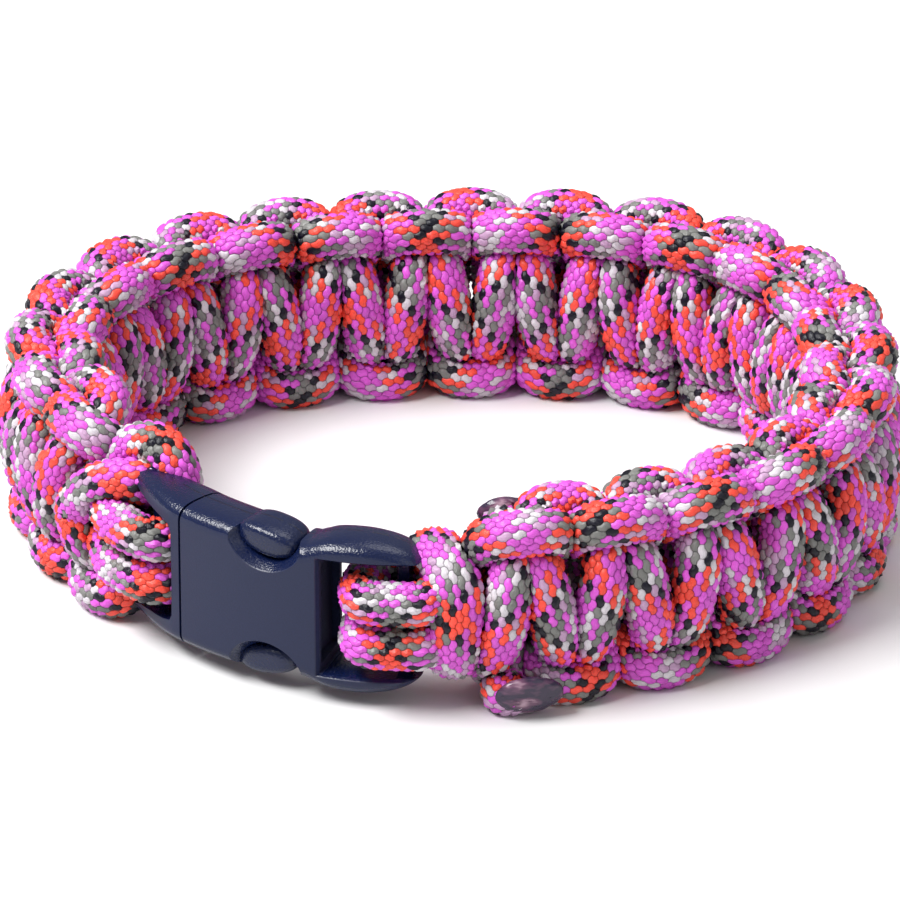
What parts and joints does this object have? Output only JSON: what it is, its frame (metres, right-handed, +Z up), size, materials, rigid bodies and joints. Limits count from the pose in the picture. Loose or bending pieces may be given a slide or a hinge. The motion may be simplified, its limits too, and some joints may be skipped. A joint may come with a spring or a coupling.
{
  "type": "paracord bracelet",
  "caption": "Wrist band knotted from multicolour braided cord in square knots, fastened in a loop by a small plastic side-release buckle.",
  "frame": {"origin": "middle of the loop, on the surface that it lies on", "axes": "+X along the buckle towards its socket, -Y towards the buckle's outer side, +Z up along the wrist's axis"},
  "size_m": [0.0863, 0.0804, 0.0195],
  "materials": {
    "braided_cord": "braided nylon sheath in pink, coral, black, grey and white",
    "core_cord": "the same braided nylon, bare at the buckle",
    "buckle_plastic": "dark navy plastic, fine matt grain with shinier rounded edges",
    "melted_nylon": "nylon melted dark and smooth"
  },
  "bodies": {
    "root": {"woven_band": "braided_cord", "socket_cord_upper": "core_cord", "socket_cord_lower": "core_cord", "plug_cord_upper": "core_cord", "plug_cord_lower": "core_cord", "buckle_socket": "buckle_plastic", "buckle_plug": "buckle_plastic", "melted_end_lower": "melted_nylon", "melted_end_upper": "melted_nylon"}
  },
  "joints": []
}
